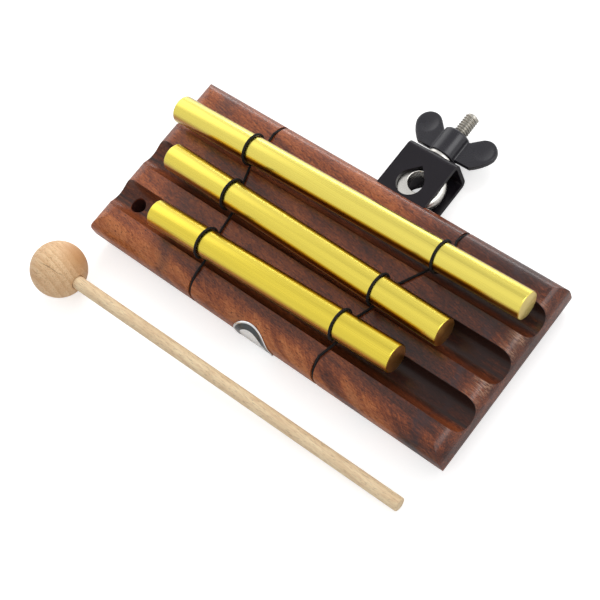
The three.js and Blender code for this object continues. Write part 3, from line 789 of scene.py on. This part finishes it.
clampLook = {
    "x": 15.1,
    "height": 8.75,
    "strapColour": (0.008, 0.006, 0.009, 1),
    "nutColour": (0.009, 0.008, 0.013, 1),
    "gritColour": (0.018, 0.016, 0.023, 1),
    "edgeWearAndHighlightColour": (0.13, 0.125, 0.13, 1),
    "steelColour": (0.72, 0.70, 0.66, 1),
    "smudgeColour": (0.52, 0.50, 0.46, 1),
    "threadColour": (0.43, 0.41, 0.37, 1),
    "strapRoughness": 0.26,
    "strapGloss": 0.22,
    "nutRoughness": 0.2,
    "nutGloss": 0.5,
    "gritDepth": 0.012,
    "steelGritDepth": 0.006,
    "strapEdge": 0.4,
    "nutVoxel": 0.32,
    "nutSmoothing": 4,
    "ringDiameter": 16.7,
    "wireDiameter": 7,
    "eyeInnerEdge": 0.5,
    "eyeOuterEdge": 2.4,
    "eyeCentre": 52.25,
    "eyeTilt": 13,
    "studDiameter": 6.35,
    "threadDepth": 0.55,
    "threadSteps": 40,     # steps a turn
    "pitch": 1.27,
    "neckEnd": 64.1,
    "studEnd": 91.7,
    "tip": 0.8,
    "washerDiameter": 12.2,
    "washerInside": 6.55,
    "washerFrom": 66.45,
    "washerTo": 68.05,
    "washerEdge": 0.25,
}


def paintMaterial(name, look, part):
    material, tree, shader = startMaterial(name)
    wearAndHighlight = useGroup(tree, wearAndEdgeHighlight, {"Vector": millimetres(tree), "Start": 0.535, "Spots": 0.9})
    grit = wearAndHighlight["Grit"]
    shade = blendColour(tree, spread(tree, grit, 0.35, 0.7, 0, 0.35), look[part + "Colour"], look["gritColour"])
    rough = timesPlus(tree, wearAndHighlight["Smudges"], 0.1, look[part + "Roughness"])
    # the lighter sharp edges are partly wear and partly a painted highlight
    feed(tree, shader, {
        "Base Color": blendColour(tree, times(tree, wearAndHighlight["Edges"], 0.55), shade, look["edgeWearAndHighlightColour"]),
        "Roughness": timesPlus(tree, grit, 0.08, rough),
        "Specular IOR Level": look[part + "Gloss"],
    })
    bump(tree, shader, grit, look["gritDepth"])
    return material


def nickelMaterial(look):
    material, tree, shader = startMaterial("brightNickel")
    vector = millimetres(tree)
    wearAndHighlight = useGroup(tree, wearAndEdgeHighlight, {"Vector": vector, "Start": 0.55, "Spots": 1.2})
    grit, smudges = wearAndHighlight["Grit"], wearAndHighlight["Smudges"]
    colour = blendColour(tree, times(tree, smudges, 0.3), look["steelColour"], look["smudgeColour"])
    # the stud's thread is duller than the eye
    onThread = spread(tree, split(tree, vector)[1], look["washerTo"] + 0.5, look["washerTo"] + 1.5)
    rough = timesPlus(tree, onThread, 0.12, timesPlus(tree, smudges, 0.12, 0.2))
    feed(tree, shader, {
        "Base Color": blendColour(tree, onThread, colour, look["threadColour"]),
        "Metallic": 1,
        "Roughness": timesPlus(tree, grit, 0.06, rough),
    })
    bump(tree, shader, grit, look["steelGritDepth"])
    return material


def makeEyebolt(look, material):
    wire, ring, stud = (look[key] / 2 for key in ("wireDiameter", "ringDiameter", "studDiameter"))
    root, studEnd, neckEnd = stud - look["threadDepth"], look["studEnd"], look["neckEnd"]
    centre = Vector((0, look["eyeCentre"] * mm, 0))
    bm = bmesh.new()
    # the eye's section: flat faces, a drilled bore and a well rounded outside; it is spun round
    # the eye's own axis, then tilted about the shank
    section = []
    for side, edge, first in ((-1, look["eyeInnerEdge"], 180), (1, look["eyeOuterEdge"], 270),
                              (1, look["eyeOuterEdge"], 0), (-1, look["eyeInnerEdge"], 90)):
        rise = -1 if first >= 180 else 1
        for i in range(7):
            angle = radians(first + 15 * i)
            out = ring + side * (wire - edge) + edge * cos(angle)
            section.append(Vector((out, 0, rise * (wire - edge) + edge * sin(angle))) * mm + centre)
    spinPoints(bm, section, 96, (0, 0, 1), centre, True)
    tilt = Matrix.Translation(centre) @ Matrix.Rotation(radians(look["eyeTilt"]), 4, "Y")
    bmesh.ops.transform(bm, matrix=tilt @ Matrix.Translation(-centre), verts=bm.verts)

    # the shank and the stud's core
    shankStart, threadStart = look["eyeCentre"] + ring, neckEnd + 2.2
    core = [(0, shankStart), (wire, shankStart), (wire, neckEnd), (stud, neckEnd + 0.3), (stud, neckEnd + 1.6),
            (root, threadStart), (root, studEnd - look["tip"] * 0.5), (root - 0.4, studEnd), (0, studEnd)]
    spinPoints(bm, alongY(core), 48)

    # the thread: a tooth's outline screwed along the shank
    turns = int((studEnd - look["tip"] - threadStart) / look["pitch"])
    tooth = [(root - 0.15, 0), (root, 0.06), (stud - 0.05, 0.5), (stud, 0.56), (stud, 0.7),
             (stud - 0.05, 0.76), (root, 1.2), (root - 0.15, 1.26)]
    verts = [bm.verts.new(point) for point in alongY([(radius, threadStart + y) for radius, y in tooth])]
    bmesh.ops.spin(bm, geom=[bm.faces.new(verts)], cent=(0, 0, 0), axis=(0, -1, 0),
                   dvec=(0, look["pitch"] / look["threadSteps"] * mm, 0), angle=2 * pi * turns,
                   steps=look["threadSteps"] * turns)
    bmesh.ops.translate(bm, vec=Vector((look["x"], 0, look["height"])) * mm, verts=bm.verts)
    linkPiece("eyeBolt", meshFrom(bm, "eyeBolt"), "eyebolt", material, ["eyebolt"], 38)


def makeWasher(look, material):
    inside, outside = look["washerInside"] / 2, look["washerDiameter"] / 2
    low, high, edge = look["washerFrom"], look["washerTo"], look["washerEdge"]
    outline = [(inside, low), (outside - edge, low), (outside, low + edge), (outside, high - edge),
               (outside - edge, high), (inside, high)]
    bm = bmesh.new()
    spinPoints(bm, alongY(outline), 64, closed=True)
    bmesh.ops.translate(bm, vec=Vector((look["x"], 0, look["height"])) * mm, verts=bm.verts)
    linkPiece("clampWasher", meshFrom(bm, "clampWasher"), "base", material, ["washer"], 50)


def makeClamp(look):
    nickel = nickelMaterial(look)
    strap = linkPiece("clampStrap", mergedCopy("clamp_bracket", "clampStrap"), "base",
                      paintMaterial("blackStrap", look, "strap"), ["clamp_bracket"], 28)
    softenEdges(strap, look["strapEdge"])
    for node, name in (("clamp_screw_left", "leftScrew"), ("clamp_screw_right", "rightScrew")):
        evenNormals(linkPiece(name, mergedCopy(node, name), "base", nickel, [node], 32))
    makeEyebolt(look, nickel)
    makeWasher(look, nickel)
    nut = linkPiece("wingNut", mergedCopy("wing_nut", "wingNut"), "wing_nut",
                    paintMaterial("blackNut", look, "nut"), ["wing_nut"], 180)
    rounding = nut.modifiers.new("cast", "REMESH")
    rounding.mode = "VOXEL"
    rounding.voxel_size = look["nutVoxel"] * mm
    rounding.use_smooth_shade = True
    smoothing = nut.modifiers.new("softened", "SMOOTH")
    smoothing.factor = 0.5
    smoothing.iterations = look["nutSmoothing"]


makeClamp(clampLook)
print("clamp built")


# Badge: a bare disc with a raised rim, bent over the near edge

badgeLook = {
    "diameter": 21,
    "x": -0.2,
    "centreHeight": 9.9,
    "lift": 0.15,
    "thickness": 0.5,
    "rimWidth": 0.8,
    "dustColour": (0.6, 0.61, 0.63, 1),
    "gloss": 0.3,
    "coat": 0.25,
    "coatRoughness": 0.08,
    "rimColour": (0.78, 0.78, 0.79, 1),
    "bandColour": (0.050, 0.058, 0.062, 1),
    "faceColour": (0.98, 0.98, 0.98, 1),
}


# A place on the block's near side, that far round it from the middle and that far off it
def overNearSide(x, around, off):
    edge, start, middle = cordLook["edgeRadius"], cordLook["edgeStart"], cordLook["blockHeight"] / 2
    beyond = abs(around) - (middle - edge)
    if beyond <= 0:
        return Vector((x, -start - edge - off, middle + around)) * mm
    angle, reach = beyond / edge, edge + off
    z = middle + (1 if around > 0 else -1) * (middle - edge + reach * sin(angle))
    return Vector((x, -start - reach * cos(angle), z)) * mm


def badgeMaterial(look):
    material, tree, shader = startMaterial("badgeFinish")
    flat = addNode(tree, "ShaderNodeUVMap", uv_map="badgeFace").outputs[0]
    radius = vectorCalc(tree, "DISTANCE", flat, (0.5, 0.5, 0), output="Value")
    onRim = spread(tree, radius, 0.455, 0.465)
    band = times(tree, spread(tree, radius, 0.325, 0.335), spread(tree, radius, 0.465, 0.455))
    dust = noise(tree, millimetres(tree), 3, 4, 0.6)
    face = blendColour(tree, spread(tree, dust, 0.4, 0.75, 0, 0.25), look["faceColour"], look["dustColour"])
    colour = blendColour(tree, band, face, look["bandColour"])
    feed(tree, shader, {
        "Base Color": blendColour(tree, onRim, colour, look["rimColour"]),
        "Metallic": onRim,
        "Roughness": spread(tree, dust, 0.3, 0.7, 0.12, 0.26),
        "Specular IOR Level": look["gloss"],
        "Coat Weight": look["coat"],
        "Coat Roughness": look["coatRoughness"],
    })
    bump(tree, shader, dust, 0.004)
    return material


def makeBadge(look):
    size, rim = look["diameter"], look["rimWidth"]
    radius, low, top = size / 2, look["lift"], look["lift"] + look["thickness"]
    outline = [(0, low), (radius * 0.5, low), (radius - 0.12, low), (radius, low + 0.12),
               (radius, top - 0.15), (radius - 0.15, top), (radius - rim * 0.6, top), (radius - rim, top - 0.2)]
    # the face is domed a little
    outline += [(radius * share, top - 0.2 + 0.08 * (1 - share))
                for share in (0.8, 0.65, 0.5, 0.35, 0.2, 0.1, 0)]
    bm = bmesh.new()
    spinPoints(bm, [(out, 0, z) for out, z in outline], 96, (0, 0, 1))
    bmesh.ops.remove_doubles(bm, verts=bm.verts, dist=1e-5)
    uv = bm.loops.layers.uv.new("badgeFace")
    for face in bm.faces:
        for loop in face.loops:
            loop[uv].uv = loop.vert.co.xy / size + Vector((0.5, 0.5))
    for vert in bm.verts:
        around = look["centreHeight"] - cordLook["blockHeight"] / 2 + vert.co.y
        vert.co = overNearSide(look["x"] + vert.co.x, around, vert.co.z)
    linkPiece("roundBadge", meshFrom(bm, "roundBadge"), "base", badgeMaterial(look),
              ["badge"], 40)


makeBadge(badgeLook)
print("badge bent")


# Mallet: turned ball on a dowel

malletLook = {
    "headDiameter": 25.6,
    "headCentre": (-98.8, -66.9, 12.8),
    "flatAngle": 19.16,    # degrees between the stick's axis and the rim of the flat round it
    "stickDiameter": 6.1,
    "stickEnd": (92.9, -63.2, 3.2),
    "boreDepth": 14,
    "gap": 0.15,           # between the stick and its bore
    "stickEdge": 0.5,
    "headColour": (0.86, 0.61, 0.36, 1),
    "headDark": (0.60, 0.31, 0.13, 1),
    "stickColour": (0.92, 0.74, 0.48, 1),
    "stickDark": (0.66, 0.43, 0.24, 1),
    "patchPlace": (-92.5, -56.8, 17.7),  # warmer wood on one side of the ball
    "patchSize": 11,
    "checkPlace": (-93, -69.6),    # a hairline check in the ball: a point on it, and its lean
    "checkLean": -0.15,
}


def paleWoodMaterial(name, light, dark, turn, shift, ringWidth, contrast, look=None):
    material, tree, shader = startMaterial(name)
    place = millimetres(tree)
    grain = useGroup(tree, woodGrain, {
        "Vector": stretch(tree, place, (1, 1, 1), turn, shift), "Ring Width": ringWidth, "Wander": 5,
        "Fibre Length": 6, "Fibre Width": 0.5, "Pore Length": 2.4, "Pore Width": 0.32, "Figure Length": 16,
        "Figure Width": 4,
    })
    height, colour = grain["Height"], light
    deep = tuple(value * 0.45 for value in dark[:3]) + (1,)
    for mask, tint in ((spread(tree, grain["Figure"], 0.4, 0.75, 0, 0.5), dark),
                       (times(tree, grain["Rings"], contrast), dark),
                       (spread(tree, grain["Fibres"], 0.46, 0.7, 0, 0.7), dark),
                       (times(tree, grain["Pores"], 0.5), deep)):
        colour = blendColour(tree, mask, colour, tint)
    if look:
        fromPatch = vectorCalc(tree, "DISTANCE", place, look["patchPlace"], output="Value")
        patch = spread(tree, fromPatch, look["patchSize"], look["patchSize"] * 0.3, 0, 0.8, True)
        colour = blendColour(tree, patch, colour, dark)
        # the hairline check
        x, y, z = split(tree, place)
        checkX, checkY = look["checkPlace"]
        wobble = times(tree, minus(tree, noise(tree, place, 0.4, 3, 0.6), 0.5), 2.5)
        offLine = plus(tree, minus(tree, y, checkY), wobble)
        offLine = timesPlus(tree, minus(tree, x, checkX), look["checkLean"], offLine)
        check = times(tree, spread(tree, calc(tree, "ABSOLUTE", offLine), 0.1, 0.25, 1, 0, True),
                      spread(tree, z, 19, 23), spread(tree, x, -101, -97))
        colour = blendColour(tree, times(tree, check, 0.7), colour, deep)
        height = minus(tree, height, times(tree, check, 2))
    feed(tree, shader, {"Base Color": colour, "Roughness": spread(tree, grain["Fibres"], 0.3, 0.7, 0.42, 0.58)})
    bump(tree, shader, height, 0.03)
    return material


def makeMallet(look):
    centre, end = Vector(look["headCentre"]), Vector(look["stickEnd"])
    turn = Vector((0, 1, 0)).rotation_difference(end - centre)
    place = Matrix.Translation(centre * mm) @ turn.to_matrix().to_4x4()
    length, edge, gap = (end - centre).length, look["stickEdge"], look["gap"]
    headRadius, stickRadius = look["headDiameter"] / 2, look["stickDiameter"] / 2
    flatAngle = radians(look["flatAngle"])
    flatAt = headRadius * cos(flatAngle)
    bore, boreEnd = stickRadius + gap, flatAt - look["boreDepth"]

    def addTurned(name, node, outline, steps, material):
        bm = bmesh.new()
        spinPoints(bm, alongY(outline), steps)
        bmesh.ops.transform(bm, matrix=place, verts=bm.verts)
        linkPiece(name, meshFrom(bm, name), "mallet", material, [node], 40)

    ball = [(0, -headRadius)]
    for i in range(1, 41):
        angle = pi - (pi - flatAngle) * i / 40
        ball.append((headRadius * sin(angle), headRadius * cos(angle)))
    ball += [(bore + 0.3, flatAt), (bore, flatAt - 0.3), (bore, boreEnd), (0, boreEnd)]
    addTurned("malletBall", "mallet_head", ball, 80, paleWoodMaterial(
        "ballWood", look["headColour"], look["headDark"], (0.6, 0.1, 0.12), (30, 8, -14), 3.0, 0.6, look))
    start = boreEnd + gap
    dowel = [(0, start)] + [(stickRadius, start + (length - edge - start) * i / 12) for i in range(13)]
    dowel += [(stickRadius - edge * 0.3, length - edge * 0.3), (stickRadius - edge, length), (0, length)]
    addTurned("malletStick", "mallet_stick", dowel, 56, paleWoodMaterial(
        "dowelWood", look["stickColour"], look["stickDark"], (0.6, 0, 0.02), (0, 3, 5), 1.6, 0.4))


makeMallet(malletLook)
print("mallet turned")


# Floor and light

studio = {
    "floorColour": (0.80, 0.80, 0.80, 1),
    "floorSize": 6,        # m
    "floorLift": 0.56,     # extra white that the camera sees
    "mirroredLift": 0.04,  # the same in reflections
    "mirroredFar": 1.3,    # and behind the object
    "worldLight": 0.64,
    # how bright the studio is in reflections only
    "ceiling": 0.97,
    "nearWall": 0.95,
    "farWall": 1.25,
    "overhead": [(0.45, 0.4, -0.2), (-0.35, 0.5, 0.12)],  # a darker and a brighter line: lean, width, strength
    "softboxes": [         # direction, half angle, brightness
        ((0.66, 0.21, 0.72), 18, 3.0),
        ((-0.86, 0.24, 0.45), 20, 0.9),
    ],
    "softboxBlur": 7,      # degrees
    "lamps": {             # place and size in m, power in W, and whether reflections show it
        "keyLamp": ((-0.35, 1.05, 0.95), (1.0, 1.0), 11.0, False),
        "fillLamp": ((0.92, 0.29, 1.0), (0.7, 0.7), 1.6, False),
        "backLamp": ((-0.75, 1.42, 0.08), (0.9, 0.15), 2.2, True),
    },
}


def seenDirectly(tree):
    rays = tree.nodes.new("ShaderNodeLightPath").outputs
    seen = calc(tree, "MAXIMUM", rays["Is Camera Ray"], rays["Is Glossy Ray"])
    return calc(tree, "MAXIMUM", seen, rays["Is Transmission Ray"])


def addFloor(look):
    bm = bmesh.new()
    bmesh.ops.create_grid(bm, x_segments=1, y_segments=1, size=look["floorSize"] / 2)
    mesh = bpy.data.meshes.new("floor")
    bm.to_mesh(mesh)
    bm.free()
    material, tree, shader = startMaterial("paleFloor")
    rays = tree.nodes.new("ShaderNodeLightPath").outputs
    mirrored = calc(tree, "MAXIMUM", rays["Is Glossy Ray"], rays["Is Transmission Ray"])
    behind = split(tree, tree.nodes.new("ShaderNodeTexCoord").outputs["Object"])[1]
    mirroredLift = spread(tree, behind, 0.06, 0.3, look["mirroredLift"], look["mirroredFar"], True)
    feed(tree, shader, {
        "Base Color": look["floorColour"],
        "Roughness": 1,
        "Specular IOR Level": 0,
        "Emission Color": (1, 1, 1, 1),
        "Emission Strength": timesPlus(tree, mirrored, mirroredLift,
                                       times(tree, rays["Is Camera Ray"], look["floorLift"])),
    })
    mesh.materials.append(material)
    floor = bpy.data.objects.new("floor", mesh)
    scene.collection.objects.link(floor)


def addWorld(look):
    world = bpy.data.worlds.new("studio")
    world.use_nodes = True
    scene.world = world
    tree = world.node_tree
    tree.nodes.clear()
    direction = tree.nodes.new("ShaderNodeTexCoord").outputs["Generated"]
    x, y, z = split(tree, direction)
    wall = spread(tree, y, -0.5, 0.6, look["nearWall"], look["farWall"], True)
    studioLight = mix(tree, spread(tree, z, 0.55, 0.1, smooth=True), look["ceiling"], wall)
    lean = calc(tree, "DIVIDE", y, calc(tree, "MAXIMUM", z, 0.05))
    fading = spread(tree, x, -0.6, -0.35, 0.2, 1)
    for place, width, strength in look["overhead"]:
        line = spread(tree, away(tree, lean, place), 0.05, width, strength, 0, True)
        studioLight = timesPlus(tree, line, fading, studioLight)
    for toBox, halfAngle, strength in look["softboxes"]:
        near = vectorCalc(tree, "DOT_PRODUCT", direction, Vector(toBox).normalized(), output="Value")
        rim, full = (cos(radians(halfAngle + way * look["softboxBlur"])) for way in (1, -1))
        studioLight = plus(tree, studioLight, spread(tree, near, rim, full, 0, strength, True))
    mirrored = tree.nodes.new("ShaderNodeLightPath").outputs["Is Glossy Ray"]
    seen = mix(tree, mirrored, 1.0, studioLight)
    shades = {0: seenDirectly(tree)}
    for i, strength in ((1, look["worldLight"]), (2, seen)):
        values = {"Color": (1, 1, 1, 1), "Strength": strength}
        shades[i] = addNode(tree, "ShaderNodeBackground", values).outputs[0]
    mixed = addNode(tree, "ShaderNodeMixShader", shades)
    feed(tree, tree.nodes.new("ShaderNodeOutputWorld"), {"Surface": mixed.outputs[0]})


def addLamp(name, place, size, power, mirrored):
    data = bpy.data.lights.new(name, "AREA")
    data.shape = "RECTANGLE"
    data.size, data.size_y = size
    data.energy = power
    lamp = bpy.data.objects.new(name, data)
    lamp.location = place
    lamp.rotation_euler = Vector(place).to_track_quat("Z", "Y").to_euler()
    lamp.visible_camera = False
    lamp.visible_glossy = mirrored
    scene.collection.objects.link(lamp)


addFloor(studio)
addWorld(studio)
for name, settings in studio["lamps"].items():
    addLamp(name, *settings)
print("studio lit")
